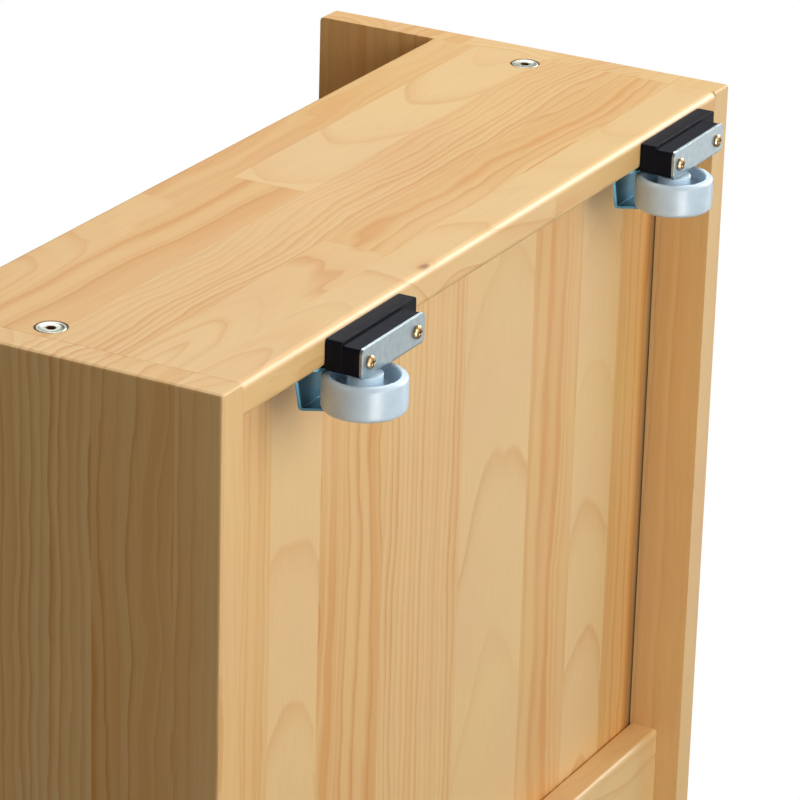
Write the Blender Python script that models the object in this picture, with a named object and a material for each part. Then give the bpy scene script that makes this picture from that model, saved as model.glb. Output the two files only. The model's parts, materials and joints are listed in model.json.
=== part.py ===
"""Rolling pantry cart in solid pine: a low, open box that rolls on four fixed castors.

Run it with blender --background --python part.py, or from Blender's text editor.
Metres, +Z up. The origin is on the ground, under the middle of the cart. The cart rolls along Y:
the front board is at -Y, the back board at +Y, and the right side board at +X.
"""

import math

import bmesh
import bpy
from mathutils import Matrix, Vector

# Boards
CART_WIDTH = 0.852  # X, over the ends of the end boards
CART_LENGTH = 0.544  # Y, over the faces of the end boards
BOARD_THICKNESS = 0.018
END_HEIGHT = 0.252
SIDE_HEIGHT = 0.180
SIDE_ROUND = 0.004  # rounded long edges of the side boards
END_ROUND = 0.002  # softened outer edges of the end boards
REST_GAP = 0.0003  # between pieces that touch
HOLE_CLEARANCE = 0.0003  # round a fastener in its hole

# Floor and the batten below it
FLOOR_RECESS = 0.033  # from the boards' lower edges up to the underside of the floor
FLOOR_THICKNESS = 0.012
TONGUE_THICKNESS = 0.006  # of the floor's edge, flush with its underside
GROOVE_DEPTH = 0.006
BATTEN_WIDTH = 0.060
BATTEN_THICKNESS = 0.018
BATTEN_ROUND = 0.0025
BATTEN_SCREW_PITCH_X = 0.030
BATTEN_SCREW_PITCH_Y = 0.240
BATTEN_SCREW_GRIP = 0.007  # screw length inside the floor

# Corner joints: one cam with its bolt, and dowels above and below it
CAM_RADIUS = 0.0077
CAM_HOLE_RADIUS = 0.0083
CAM_REACH = 0.0032  # past the middle of the side board
CAM_FLOOR = 0.0003  # under the cam, at the bottom of its hole
CAM_SETBACK = 0.0123  # from the end of the side board
CAM_LEVEL = 0.1125  # above the boards' lower edges
CAM_SOCKET_FLATS = 0.0042
CAM_SOCKET_DEPTH = 0.0045
BOLT_THREAD_RADIUS = 0.0025
BOLT_THREAD_LENGTH = 0.0105
BOLT_COLLAR_RADIUS = 0.0032
BOLT_NECK_RADIUS = 0.0018
BOLT_HEAD_RADIUS = 0.0028
DOWEL_RADIUS = 0.004
DOWEL_IN_END_BOARD = 0.010
DOWEL_IN_SIDE_BOARD = 0.018
DOWEL_LEVELS = (0.072, 0.152)  # above the boards' lower edges
DOWEL_CHAMFER = 0.001

# Castors, along the side boards' lower edges
FRONT_AXLE_SETBACK = 0.0885  # from the inner face of the front board
BACK_AXLE_SETBACK = 0.0810  # from the inner face of the back board
AXLE_DROP = 0.0145  # below the boards' lower edges
WHEEL_RADIUS = 0.021
WHEEL_WIDTH = 0.0180
WHEEL_RIM = 0.0042
WHEEL_ROUND = 0.0026
WHEEL_WEB = 0.0034
HUB_RADIUS = 0.0088
HUB_PROUD = 0.0004  # past the rim, on each side
HUB_PLAY = 0.0003  # between the hub and each leg
BORE_PLAY = 0.0001  # round the axle
AXLE_RADIUS = 0.003
AXLE_HEAD_RADIUS = 0.0052
AXLE_HEAD_HEIGHT = 0.0018
SHEET = 0.0015  # steel of the bracket
BEND_RADIUS = 0.0011  # of the middle of the sheet
PLATE_INSET = 0.0042  # from the side board's outer face
PLATE_LENGTH = 0.0615
PLATE_ROUND = 0.003
WHEEL_CLEARANCE = 0.005  # between the wheel and the bracket's web
LOWER_LEG_FOOT = 0.0150  # half width of the lower leg at the web
UPPER_LEG_FOOT = 0.0205  # half width of the upper leg at the web
LEG_END_RADIUS = 0.0078  # below the boards' lower edges the legs are this wide each way
RISER_TAIL = 0.0140  # from the axle to the risers' short end
RISER_INSET = 0.0026  # from the side board's outer face
RISER_PROUD = 0.001  # past the side board's inner face
BASE_LENGTH = 0.0730
BASE_HEIGHT = 0.009
CAP_LENGTH = 0.0600
CAP_HEIGHT = 0.009
CAP_STEP = 0.0017  # the cap is this much narrower than the base
RISER_ROUND = 0.0018  # upright corners of the risers

# Screws
SCREW_RADIUS = 0.002
SCREW_HEAD_RADIUS = 0.0035
SCREW_HEAD_HEIGHT = 0.0017
SCREW_END_INSET = 0.0078  # from the ends of the bracket's plate
SCREW_IN_BOARD = 0.024
SCREW_POINT = 0.004
RECESS_WIDTH = 0.0009
RECESS_DEPTH = 0.0011
RECESS_SPAN = 0.0040

# Worked out
LOWER_EDGE = AXLE_DROP + WHEEL_RADIUS  # height of the boards' lower edges
HALF_WIDTH = CART_WIDTH / 2
HALF_LENGTH = CART_LENGTH / 2
INNER_X = HALF_WIDTH - BOARD_THICKNESS
INNER_Y = HALF_LENGTH - BOARD_THICKNESS
JOINT_X = HALF_WIDTH - BOARD_THICKNESS / 2  # middle of a side board
CAM_HEIGHT = BOARD_THICKNESS / 2 + CAM_REACH
FLOOR_UNDERSIDE = LOWER_EDGE + FLOOR_RECESS
FLOOR_TOP = FLOOR_UNDERSIDE + FLOOR_THICKNESS
TONGUE_TOP = FLOOR_UNDERSIDE + TONGUE_THICKNESS
GROOVE_END_X = INNER_X + GROOVE_DEPTH
BATTEN_TOP = FLOOR_UNDERSIDE - REST_GAP
BATTEN_MIDDLE = BATTEN_TOP - BATTEN_THICKNESS / 2
AXLE_YS = {-1: FRONT_AXLE_SETBACK - INNER_Y, 1: INNER_Y - BACK_AXLE_SETBACK}  # right side

# A castor's own frame: its origin is on the outer face of the side board, at the board's lower edge
# and over the axle. Depth (w) is measured inwards, towards -X of that frame, and drop (d) downwards.
BASE_DROP = REST_GAP
CAP_DROP = BASE_DROP + BASE_HEIGHT + REST_GAP
PLATE_DROP = CAP_DROP + CAP_HEIGHT + REST_GAP
RISER_DEPTH = BOARD_THICKNESS + RISER_PROUD
UPPER_LEG = RISER_DEPTH + REST_GAP  # depth where the upper leg starts
HUB_WIDTH = WHEEL_WIDTH + 2 * HUB_PROUD
WHEEL_MIDDLE = UPPER_LEG + SHEET + HUB_PLAY + HUB_WIDTH / 2
LOWER_LEG = WHEEL_MIDDLE + HUB_WIDTH / 2 + HUB_PLAY
WEB_DROP = AXLE_DROP - WHEEL_RADIUS - WHEEL_CLEARANCE
PLATE_MIDDLE = (PLATE_INSET + UPPER_LEG + SHEET) / 2
SCREW_RUNS = (SCREW_END_INSET - RISER_TAIL, PLATE_LENGTH - SCREW_END_INSET - RISER_TAIL)

ROUND_SIDES = 20
WHEEL_SIDES = 32


# Materials


def material(name, colour, roughness, metallic=0.0):
    made = bpy.data.materials.new(name)
    made.use_nodes = True
    shader = made.node_tree.nodes["Principled BSDF"]
    shader.inputs["Base Color"].default_value = (*colour, 1)
    shader.inputs["Roughness"].default_value = roughness
    shader.inputs["Metallic"].default_value = metallic
    made.diffuse_color = (*colour, 1)
    return made


def make_materials():
    return {
        "pine": material("pine", (0.80, 0.56, 0.30), 0.5),
        "beech": material("beech", (0.62, 0.42, 0.25), 0.6),
        "black_plastic": material("black_plastic", (0.012, 0.012, 0.016), 0.5),
        "grey_plastic": material("grey_plastic", (0.58, 0.66, 0.72), 0.3),
        "zinc": material("zinc", (0.58, 0.65, 0.68), 0.35, 1.0),
        "nickel": material("nickel", (0.78, 0.78, 0.74), 0.25, 1.0),
        "brass_plate": material("brass_plate", (0.72, 0.50, 0.22), 0.3, 1.0),
    }


# Shapes, each added to a bmesh


def box(bm, low, high):
    """A box between two opposite corners. It returns its vertices."""
    low, high = Vector(low), Vector(high)
    place = Matrix.Translation((low + high) / 2) @ Matrix.Diagonal((*(high - low), 1))
    return bmesh.ops.create_cube(bm, size=1, matrix=place)["verts"]


def round_edges(bm, radius, along=None, segments=2, sharp_y=None):
    """Rounds the edges that run along one axis (0, 1 or 2), or all but those at y = sharp_y."""
    edges = []
    for edge in bm.edges:
        ends = [vert.co for vert in edge.verts]
        run = (ends[1] - ends[0]).normalized()
        kept = sharp_y is not None and all(abs(co.y - sharp_y) < 1e-6 for co in ends)
        if not kept and (along is None or abs(run[along]) > 0.99):
            edges.append(edge)
    bmesh.ops.bevel(
        bm,
        geom=edges,
        offset=radius,
        offset_type="OFFSET",
        affect="EDGES",
        segments=segments,
        profile=0.5,
        clamp_overlap=True,
        material=-1,
    )


def rod(bm, start, end, radius, sides=ROUND_SIDES, end_radius=None):
    """A cylinder, or a cone with its own end radius, from one point to another."""
    start, end = Vector(start), Vector(end)
    turn = (end - start).to_track_quat("Z", "Y").to_matrix().to_4x4()
    bmesh.ops.create_cone(
        bm,
        cap_ends=True,
        segments=sides,
        radius1=radius,
        radius2=radius if end_radius is None else end_radius,
        depth=(end - start).length,
        matrix=Matrix.Translation((start + end) / 2) @ turn,
    )


def turned(profile, steps=ROUND_SIDES, closed=False):
    """A bmesh turned round Z from (radius, height) points. A closed profile makes a ring."""
    bm = bmesh.new()
    points = [bm.verts.new((radius, 0, height)) for radius, height in profile]
    pairs = list(zip(points, points[1:]))
    if closed:
        pairs.append((points[-1], points[0]))
    edges = [bm.edges.new(pair) for pair in pairs]
    bmesh.ops.spin(
        bm,
        geom=points + edges,
        cent=(0, 0, 0),
        axis=(0, 0, 1),
        angle=2 * math.pi,
        steps=steps,
        use_merge=True,
    )
    bmesh.ops.remove_doubles(bm, verts=bm.verts, dist=1e-6)
    bmesh.ops.recalc_face_normals(bm, faces=bm.faces)
    return bm


def prism(bm, outline, along):
    """Extrudes a flat outline, a list of points, by a vector."""
    face = bm.faces.new([bm.verts.new(point) for point in outline])
    made = bmesh.ops.extrude_face_region(bm, geom=[face])["geom"]
    far = [item for item in made if isinstance(item, bmesh.types.BMVert)]
    bmesh.ops.translate(bm, verts=far, vec=along)
    bmesh.ops.recalc_face_normals(bm, faces=bm.faces)


def loft(bm, outline, other):
    """A solid between two flat outlines of as many points."""
    near = [bm.verts.new(point) for point in outline]
    far = [bm.verts.new(point) for point in other]
    bm.faces.new(near)
    bm.faces.new(far)
    for index in range(len(near)):
        bm.faces.new((near[index - 1], near[index], far[index], far[index - 1]))
    bmesh.ops.recalc_face_normals(bm, faces=bm.faces)


def arc(centre, radius, start, end, steps):
    """Points on an arc in a plane, from one angle to another."""
    angles = [start + (end - start) * step / steps for step in range(steps + 1)]
    return [
        (centre[0] + radius * math.cos(a), centre[1] + radius * math.sin(a))
        for a in angles
    ]


# Objects


def new_object(name, bm, finish=None, place=None, parent=None):
    """Turns a bmesh into an object, shaded smooth except at sharp edges."""
    mesh = bpy.data.meshes.new(name)
    bm.to_mesh(mesh)
    bm.free()
    return object_of(name, mesh, finish, place, parent)


def object_of(name, mesh, finish=None, place=None, parent=None):
    mesh.shade_smooth()
    mesh.set_sharp_from_angle(angle=math.radians(35))
    if finish is not None and not mesh.materials:
        mesh.materials.append(finish)
    made = bpy.data.objects.new(name, mesh)
    bpy.context.scene.collection.objects.link(made)
    made.parent = parent
    if place is not None:
        made.matrix_local = place
    return made


def combined(body, tool_mesh, operation="DIFFERENCE"):
    """The body's mesh after a tool, a bmesh, is cut from it, joined to it or kept with it."""
    tool = new_object("tool", tool_mesh)
    modifier = body.modifiers.new(operation.title(), "BOOLEAN")
    modifier.operation = operation
    modifier.solver = "EXACT"
    modifier.object = tool
    bpy.context.view_layer.update()
    evaluated = body.evaluated_get(bpy.context.evaluated_depsgraph_get())
    mesh = bpy.data.meshes.new_from_object(evaluated)
    body.modifiers.clear()
    body.data = mesh
    bpy.data.objects.remove(tool)
    return body


def taken(made):
    """An object's mesh, with the object removed, for pieces that share it."""
    mesh = made.data
    bpy.data.objects.remove(made)
    return mesh


# Boards


def make_end_board(name, end, finish):
    """end is -1 for the front board and 1 for the back board. Its inner face has the holes."""
    bm = bmesh.new()
    outer, inner = end * HALF_LENGTH, end * INNER_Y
    low = (-HALF_WIDTH, min(outer, inner), LOWER_EDGE)
    box(bm, low, (HALF_WIDTH, max(outer, inner), LOWER_EDGE + END_HEIGHT))
    round_edges(bm, END_ROUND, sharp_y=inner)
    board = new_object(name, bm, finish)

    holes = bmesh.new()
    inside = inner - end * BOARD_THICKNESS / 2  # a point clear of the board, inside the cart
    groove = inner + end * GROOVE_DEPTH
    box(
        holes,
        (-GROOVE_END_X, min(inside, groove), FLOOR_UNDERSIDE - REST_GAP),
        (GROOVE_END_X, max(inside, groove), TONGUE_TOP + REST_GAP),
    )
    bolt_end = inner + end * (BOLT_THREAD_LENGTH + REST_GAP)
    dowel_end = inner + end * (DOWEL_IN_END_BOARD + REST_GAP)
    for x in (-JOINT_X, JOINT_X):
        level = LOWER_EDGE + CAM_LEVEL
        radius = BOLT_THREAD_RADIUS + HOLE_CLEARANCE
        rod(holes, (x, inside, level), (x, bolt_end, level), radius)
        for height in DOWEL_LEVELS:
            level = LOWER_EDGE + height
            radius = DOWEL_RADIUS + HOLE_CLEARANCE
            rod(holes, (x, inside, level), (x, dowel_end, level), radius)
    radius = DOWEL_RADIUS + HOLE_CLEARANCE
    rod(holes, (0, inside, BATTEN_MIDDLE), (0, dowel_end, BATTEN_MIDDLE), radius)
    return combined(board, holes)


def make_side_board(name, side, finish):
    """side is 1 for the right board and -1 for the left one."""
    bm = bmesh.new()
    outer, inner = side * HALF_WIDTH, side * INNER_X
    end = INNER_Y - REST_GAP
    top = LOWER_EDGE + SIDE_HEIGHT
    box(bm, (min(outer, inner), -end, LOWER_EDGE), (max(outer, inner), end, top))
    round_edges(bm, SIDE_ROUND, along=1, segments=4)
    board = new_object(name, bm, finish)

    holes = bmesh.new()
    inside = inner - side * BOARD_THICKNESS / 2
    groove = inner + side * GROOVE_DEPTH
    past = end + BOARD_THICKNESS
    box(
        holes,
        (min(inside, groove), -past, FLOOR_UNDERSIDE - REST_GAP),
        (max(inside, groove), past, TONGUE_TOP + REST_GAP),
    )
    for y in castor_screws(side):
        radius = SCREW_RADIUS + HOLE_CLEARANCE
        x = side * (HALF_WIDTH - PLATE_MIDDLE)
        top = LOWER_EDGE + SCREW_IN_BOARD + 2 * REST_GAP
        rod(holes, (x, y, LOWER_EDGE - BOARD_THICKNESS), (x, y, top), radius)
    combined(board, holes)
    combined(board, joint_holes(side))
    return combined(board, cam_holes(side))


def joint_holes(side):
    """The dowel holes and the bolt channels in both ends of a side board."""
    holes = bmesh.new()
    x = side * JOINT_X
    for end in (-1, 1):
        past = end * (INNER_Y + BOARD_THICKNESS)
        level = LOWER_EDGE + CAM_LEVEL
        middle = end * (INNER_Y - CAM_SETBACK)
        radius = BOLT_COLLAR_RADIUS + HOLE_CLEARANCE
        rod(holes, (x, past, level), (x, middle, level), radius)
        dowel_end = end * (INNER_Y - DOWEL_IN_SIDE_BOARD - REST_GAP)
        radius = DOWEL_RADIUS + HOLE_CLEARANCE
        for height in DOWEL_LEVELS:
            level = LOWER_EDGE + height
            rod(holes, (x, past, level), (x, dowel_end, level), radius)
    return holes


def cam_holes(side):
    """The cams' blind holes in the outer face of a side board."""
    holes = bmesh.new()
    past = side * (HALF_WIDTH + BOARD_THICKNESS)
    bottom = side * (HALF_WIDTH - CAM_HEIGHT - CAM_FLOOR)
    level = LOWER_EDGE + CAM_LEVEL
    for end in (-1, 1):
        y = end * (INNER_Y - CAM_SETBACK)
        rod(holes, (past, y, level), (bottom, y, level), CAM_HOLE_RADIUS, 28)
    return holes


def castor_screws(side):
    """The y of each castor screw on one side."""
    return [side * (y + run) for y in AXLE_YS.values() for run in SCREW_RUNS]


def make_floor_panel(name, side, finish):
    """One half of the floor. Its tongue is in the grooves and its upper face is clear of them."""
    bm = bmesh.new()
    near = side * REST_GAP / 2
    far = side * (GROOVE_END_X - REST_GAP)
    end = INNER_Y + GROOVE_DEPTH - REST_GAP
    low = (min(near, far), -end, FLOOR_UNDERSIDE)
    box(bm, low, (max(near, far), end, FLOOR_TOP))
    panel = new_object(name, bm, finish)
    cut_rebates(panel, side)
    holes = bmesh.new()
    top = FLOOR_UNDERSIDE + BATTEN_SCREW_GRIP + REST_GAP
    for x, y in batten_screws():
        if x * side > 0:
            low = (x, y, FLOOR_UNDERSIDE - FLOOR_THICKNESS)
            rod(holes, low, (x, y, top), SCREW_RADIUS + HOLE_CLEARANCE)
    return combined(panel, holes)


def cut_rebates(panel, side):
    """Cuts the upper face back to the boards' inner faces, along three edges of a floor half."""
    past_x, past_y = HALF_WIDTH, HALF_LENGTH
    shoulder_x, shoulder_y = INNER_X - REST_GAP, INNER_Y - REST_GAP
    top = FLOOR_TOP + FLOOR_THICKNESS
    for end in (-1, 1):
        rebate = bmesh.new()
        ys = sorted((end * shoulder_y, end * past_y))
        box(rebate, (-past_x, ys[0], TONGUE_TOP), (past_x, ys[1], top))
        combined(panel, rebate)
    rebate = bmesh.new()
    xs = sorted((side * shoulder_x, side * past_x))
    box(rebate, (xs[0], -past_y, TONGUE_TOP), (xs[1], past_y, top))
    combined(panel, rebate)


def batten_screws():
    half_x, half_y = BATTEN_SCREW_PITCH_X / 2, BATTEN_SCREW_PITCH_Y / 2
    return [(x, y) for x in (-half_x, half_x) for y in (-half_y, half_y)]


def make_batten(finish):
    """The flat batten under the seam of the floor, with its screw and dowel holes."""
    bm = bmesh.new()
    end = INNER_Y - REST_GAP
    bottom = BATTEN_TOP - BATTEN_THICKNESS
    box(bm, (-BATTEN_WIDTH / 2, -end, bottom), (BATTEN_WIDTH / 2, end, BATTEN_TOP))
    round_edges(bm, BATTEN_ROUND, along=1, segments=3)
    batten = new_object("floor_batten", bm, finish)
    past = bottom - BATTEN_THICKNESS
    sunk = bottom + SCREW_HEAD_HEIGHT + REST_GAP
    heads, shanks = bmesh.new(), bmesh.new()
    for x, y in batten_screws():
        rod(heads, (x, y, past), (x, y, sunk), SCREW_HEAD_RADIUS + HOLE_CLEARANCE)
        high = (x, y, BATTEN_TOP + BATTEN_THICKNESS)
        rod(shanks, (x, y, past), high, SCREW_RADIUS + HOLE_CLEARANCE)
    combined(batten, heads)
    combined(batten, shanks)
    sockets = bmesh.new()
    for side in (-1, 1):
        past = side * (INNER_Y + BOARD_THICKNESS)
        socket_end = side * (INNER_Y - DOWEL_IN_SIDE_BOARD - REST_GAP)
        start, stop = (0, past, BATTEN_MIDDLE), (0, socket_end, BATTEN_MIDDLE)
        rod(sockets, start, stop, DOWEL_RADIUS + HOLE_CLEARANCE)
    return combined(batten, sockets)


# Corner fasteners. Each is turned round Z, then laid along its real axis.


def cam_mesh(finish):
    """A cam: dished face at height 0, hex socket, and a mouth towards +Y for the bolt's head."""
    face = [(0, -0.0003), (0.0032, -0.0003), (0.0052, -0.0009), (0.0066, -0.0002)]
    rim = [(0.0070, 0), (CAM_RADIUS - 0.0003, 0), (CAM_RADIUS, -0.0003)]
    body = [(CAM_RADIUS, -CAM_HEIGHT), (0, -CAM_HEIGHT)]
    cam = new_object("cam", turned(face + rim + body, 28), finish)
    socket = bmesh.new()
    across = CAM_SOCKET_FLATS / 2 / math.cos(math.pi / 6)
    rod(socket, (0, 0, CAM_SOCKET_DEPTH), (0, 0, -CAM_SOCKET_DEPTH), across, 6)
    combined(cam, socket)
    mouth = bmesh.new()
    depth = -BOARD_THICKNESS / 2  # the bolt lies in the middle of the board
    inner = BOLT_HEAD_RADIUS * 2
    radius = BOLT_HEAD_RADIUS + HOLE_CLEARANCE
    rod(mouth, (0, -inner, depth), (0, 2 * CAM_RADIUS, depth), radius, 16)
    return taken(combined(cam, mouth))


def bolt_mesh(finish):
    """A cam bolt along Z: its thread is below height 0, where the boards meet."""
    head_end = CAM_SETBACK + BOLT_HEAD_RADIUS
    head_start = CAM_SETBACK - BOLT_HEAD_RADIUS
    thread, tip = BOLT_THREAD_RADIUS, BOLT_THREAD_RADIUS * 0.6
    collar, neck, head = BOLT_COLLAR_RADIUS, BOLT_NECK_RADIUS, BOLT_HEAD_RADIUS
    flange = 0.0015
    profile = [
        (0, -BOLT_THREAD_LENGTH),
        (tip, -BOLT_THREAD_LENGTH),
        (thread, thread - tip - BOLT_THREAD_LENGTH),
        (thread, REST_GAP),
        (collar, REST_GAP),
        (collar, REST_GAP + flange),
        (neck, REST_GAP + 2 * flange),
        (neck, head_start - head / 2),
        (head, head_start),
        (head, head_end - head / 2),
        (head / 2, head_end),
        (0, head_end),
    ]
    return taken(new_object("bolt", turned(profile, 16), finish))


def dowel_mesh(finish):
    """A dowel along Z. Height 0 is where the boards meet."""
    low, high = -DOWEL_IN_END_BOARD, DOWEL_IN_SIDE_BOARD
    inner = DOWEL_RADIUS - DOWEL_CHAMFER
    profile = [
        (0, low),
        (inner, low),
        (DOWEL_RADIUS, low + DOWEL_CHAMFER),
        (DOWEL_RADIUS, high - DOWEL_CHAMFER),
        (inner, high),
        (0, high),
    ]
    return taken(new_object("dowel", turned(profile, 16), finish))


def screw_mesh(name, length, finish):
    """A cross-head screw along Z: its head is above height 0 and its shank runs down."""
    edge = SCREW_HEAD_RADIUS
    top = SCREW_HEAD_HEIGHT
    crown = [(0, top), (edge * 0.55, top * 0.96), (edge * 0.86, top * 0.72)]
    shank = [(edge, top * 0.3), (edge, 0), (SCREW_RADIUS, 0)]
    tip = [(SCREW_RADIUS, SCREW_POINT - length), (0, -length)]
    screw = new_object(name, turned(crown + shank + tip, 16), finish)
    recess = bmesh.new()
    half, span = RECESS_WIDTH / 2, RECESS_SPAN / 2
    bottom, past = top - RECESS_DEPTH, top * 2
    box(recess, (-half, -span, bottom), (half, span, past))
    combined(screw, recess)
    recess = bmesh.new()
    box(recess, (-span, -half, bottom), (span, half, past))
    return taken(combined(screw, recess))


# Castor pieces, in the castor's own frame


def wheel_mesh(finish):
    """The wheel round X, cupped on both faces, with its hub standing just past the rim."""
    half, hub = WHEEL_WIDTH / 2, HUB_WIDTH / 2
    web, cup = WHEEL_WEB / 2, WHEEL_RADIUS - WHEEL_RIM
    bore = AXLE_RADIUS + BORE_PLAY
    fillet = 0.0012
    tread = arc((WHEEL_RADIUS - WHEEL_ROUND, half - WHEEL_ROUND), WHEEL_ROUND, 1.57, 0, 3)
    face = [(bore, hub), (HUB_RADIUS, hub), (HUB_RADIUS, web + fillet)]
    face += [(HUB_RADIUS + fillet, web), (cup - fillet, web), (cup, web + fillet)]
    face += [(cup, half - fillet), (cup + fillet, half), *tread]
    other = [(radius, -height) for radius, height in reversed(face)]
    bm = turned(face + other, WHEEL_SIDES, closed=True)
    bmesh.ops.rotate(bm, verts=bm.verts, matrix=Matrix.Rotation(math.pi / 2, 3, "Y"))
    return taken(new_object("wheel", bm, finish))


def axle_mesh(finish):
    """The axle along X, from its head outside the lower leg to its end flush in the upper leg."""
    head, dome = AXLE_HEAD_RADIUS, AXLE_HEAD_HEIGHT
    start = LOWER_LEG + SHEET + REST_GAP
    profile = [
        (0, start + dome),
        (head * 0.6, start + dome * 0.85),
        (head, start + dome * 0.3),
        (head, start),
        (AXLE_RADIUS, start),
        (AXLE_RADIUS, UPPER_LEG),
        (0, UPPER_LEG),
    ]
    bm = turned(profile, ROUND_SIDES)
    bmesh.ops.rotate(bm, verts=bm.verts, matrix=Matrix.Rotation(-math.pi / 2, 3, "Y"))
    return taken(new_object("axle", bm, finish))


def bent_strip(corners, thickness, bend):
    """The closed outline of a strip that is bent at each inner corner of its path."""
    path = [Vector(corners[0])]
    for before, at, after in zip(corners, corners[1:], corners[2:]):
        at = Vector(at)
        back = (Vector(before) - at).normalized()
        on = (Vector(after) - at).normalized()
        centre = at + (back + on) * bend
        start = centre - on * bend
        for step in range(5):
            angle = math.pi / 2 * step / 4
            out = (start - centre) * math.cos(angle) - back * bend * math.sin(angle)
            path.append(centre + out)
    path.append(Vector(corners[-1]))
    left, right = [], []
    for index, point in enumerate(path):
        before = path[max(index - 1, 0)]
        after = path[min(index + 1, len(path) - 1)]
        run = (after - before).normalized()
        normal = Vector((-run.y, run.x)) * thickness / 2
        left.append(point + normal)
        right.append(point - normal)
    return left + right[::-1]


def leg_outline(foot):
    """A leg's outline in (run, drop): its foot at the web, and round about the axle."""
    top = WEB_DROP - SHEET
    waist = (LEG_END_RADIUS, 0)
    tip = arc((0, AXLE_DROP), LEG_END_RADIUS, 0, math.pi, 12)
    return [(-foot, top), (foot, top), waist, *tip, (-LEG_END_RADIUS, 0)]


def bracket_mesh(finish):
    """The bracket, one strip of steel: screw plate, upper leg, web behind the wheel, lower leg."""
    middle = SHEET / 2
    upper, lower = UPPER_LEG + middle, LOWER_LEG + middle
    plate, web = PLATE_DROP + middle, WEB_DROP - middle
    past = AXLE_DROP + 2 * LEG_END_RADIUS
    path = [(PLATE_INSET, plate), (upper, plate), (upper, web), (lower, web), (lower, past)]
    bm = bmesh.new()
    outline = bent_strip(path, SHEET, BEND_RADIUS)
    start = -2 * UPPER_LEG_FOOT
    width = PLATE_LENGTH + 4 * UPPER_LEG_FOOT
    prism(bm, [(-w, start, -d) for w, d in outline], (0, width, 0))
    bracket = new_object("bracket", bm, finish)

    # What is kept of the strip: the legs and the web, and the plate with its rounded corners
    kept = bmesh.new()
    reach = LOWER_LEG + SHEET
    lower = [(-reach, run, -drop) for run, drop in leg_outline(LOWER_LEG_FOOT)]
    upper = [(-UPPER_LEG, run, -drop) for run, drop in leg_outline(UPPER_LEG_FOOT)]
    loft(kept, lower, upper)
    bracket_trim = new_object("trim", kept)
    combined(bracket_trim, plate_tool(), "UNION")
    trim = bmesh.new()
    trim.from_mesh(taken(bracket_trim))
    combined(bracket, trim, "INTERSECT")

    holes = bmesh.new()
    radius = AXLE_RADIUS + HOLE_CLEARANCE
    rod(holes, (0, 0, -AXLE_DROP), (-2 * reach, 0, -AXLE_DROP), radius)
    for run in SCREW_RUNS:
        low = (-PLATE_MIDDLE, run, -PLATE_DROP - BOARD_THICKNESS)
        high = (-PLATE_MIDDLE, run, -CAP_DROP)
        rod(holes, low, high, SCREW_RADIUS + HOLE_CLEARANCE)
    return taken(combined(bracket, holes))


def plate_tool():
    """A block that holds the screw plate, with the plate's four rounded corners."""
    bm = bmesh.new()
    low = (-UPPER_LEG - SHEET / 2, -RISER_TAIL, -PLATE_DROP - 2 * SHEET)
    high = (-PLATE_INSET, PLATE_LENGTH - RISER_TAIL, REST_GAP - PLATE_DROP)
    box(bm, low, high)
    round_edges(bm, PLATE_ROUND, along=2, segments=4)
    return bm


def riser_mesh(name, length, height, depth_start, finish):
    """A moulded riser, its short end behind the axle and its underside at drop height."""
    bm = bmesh.new()
    low = (-RISER_DEPTH, -RISER_TAIL, -height)
    box(bm, low, (-depth_start, length - RISER_TAIL, 0))
    round_edges(bm, RISER_ROUND, along=2, segments=3)
    riser = new_object(name, bm, finish)
    holes = bmesh.new()
    for run in SCREW_RUNS:
        low = (-PLATE_MIDDLE, run, -2 * height)
        rod(holes, low, (-PLATE_MIDDLE, run, height), SCREW_RADIUS + HOLE_CLEARANCE)
    return taken(combined(riser, holes))


# Assembly


def place_corner_fasteners(finishes):
    """Each side board meets an end board with one cam, its bolt and the dowels."""
    cam, bolt = cam_mesh(finishes["nickel"]), bolt_mesh(finishes["zinc"])
    dowel = dowel_mesh(finishes["beech"])
    for side_name, side in (("right", 1), ("left", -1)):
        for end_name, end in (("front", -1), ("back", 1)):
            corner = f"{end_name}_{side_name}"
            outwards = Matrix.Rotation(side * math.pi / 2, 4, "Y")
            mouth = Matrix.Rotation(0 if end > 0 else math.pi, 4, "Z")
            level = LOWER_EDGE + CAM_LEVEL
            at = (side * HALF_WIDTH, end * (INNER_Y - CAM_SETBACK), level)
            place = Matrix.Translation(at) @ outwards @ mouth
            object_of(f"{corner}_cam", cam, None, place)
            inwards = Matrix.Rotation(end * math.pi / 2, 4, "X")
            place = Matrix.Translation((side * JOINT_X, end * INNER_Y, level)) @ inwards
            object_of(f"{corner}_cam_bolt", bolt, None, place)
            for name, height in zip(("lower", "upper"), DOWEL_LEVELS):
                at = (side * JOINT_X, end * INNER_Y, LOWER_EDGE + height)
                place = Matrix.Translation(at) @ inwards
                object_of(f"{corner}_{name}_dowel", dowel, None, place)
    for end_name, end in (("front", -1), ("back", 1)):
        inwards = Matrix.Rotation(end * math.pi / 2, 4, "X")
        place = Matrix.Translation((0, end * INNER_Y, BATTEN_MIDDLE)) @ inwards
        object_of(f"batten_{end_name}_dowel", dowel, None, place)


def place_batten_screws(finish):
    length = BATTEN_THICKNESS - SCREW_HEAD_HEIGHT + REST_GAP + BATTEN_SCREW_GRIP
    screw = screw_mesh("batten_screw", length, finish)
    base = BATTEN_TOP - BATTEN_THICKNESS + SCREW_HEAD_HEIGHT
    upside_down = Matrix.Rotation(math.pi, 4, "X")
    for number, (x, y) in enumerate(batten_screws(), 1):
        place = Matrix.Translation((x, y, base)) @ upside_down
        object_of(f"batten_screw_{number}", screw, None, place)


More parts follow.
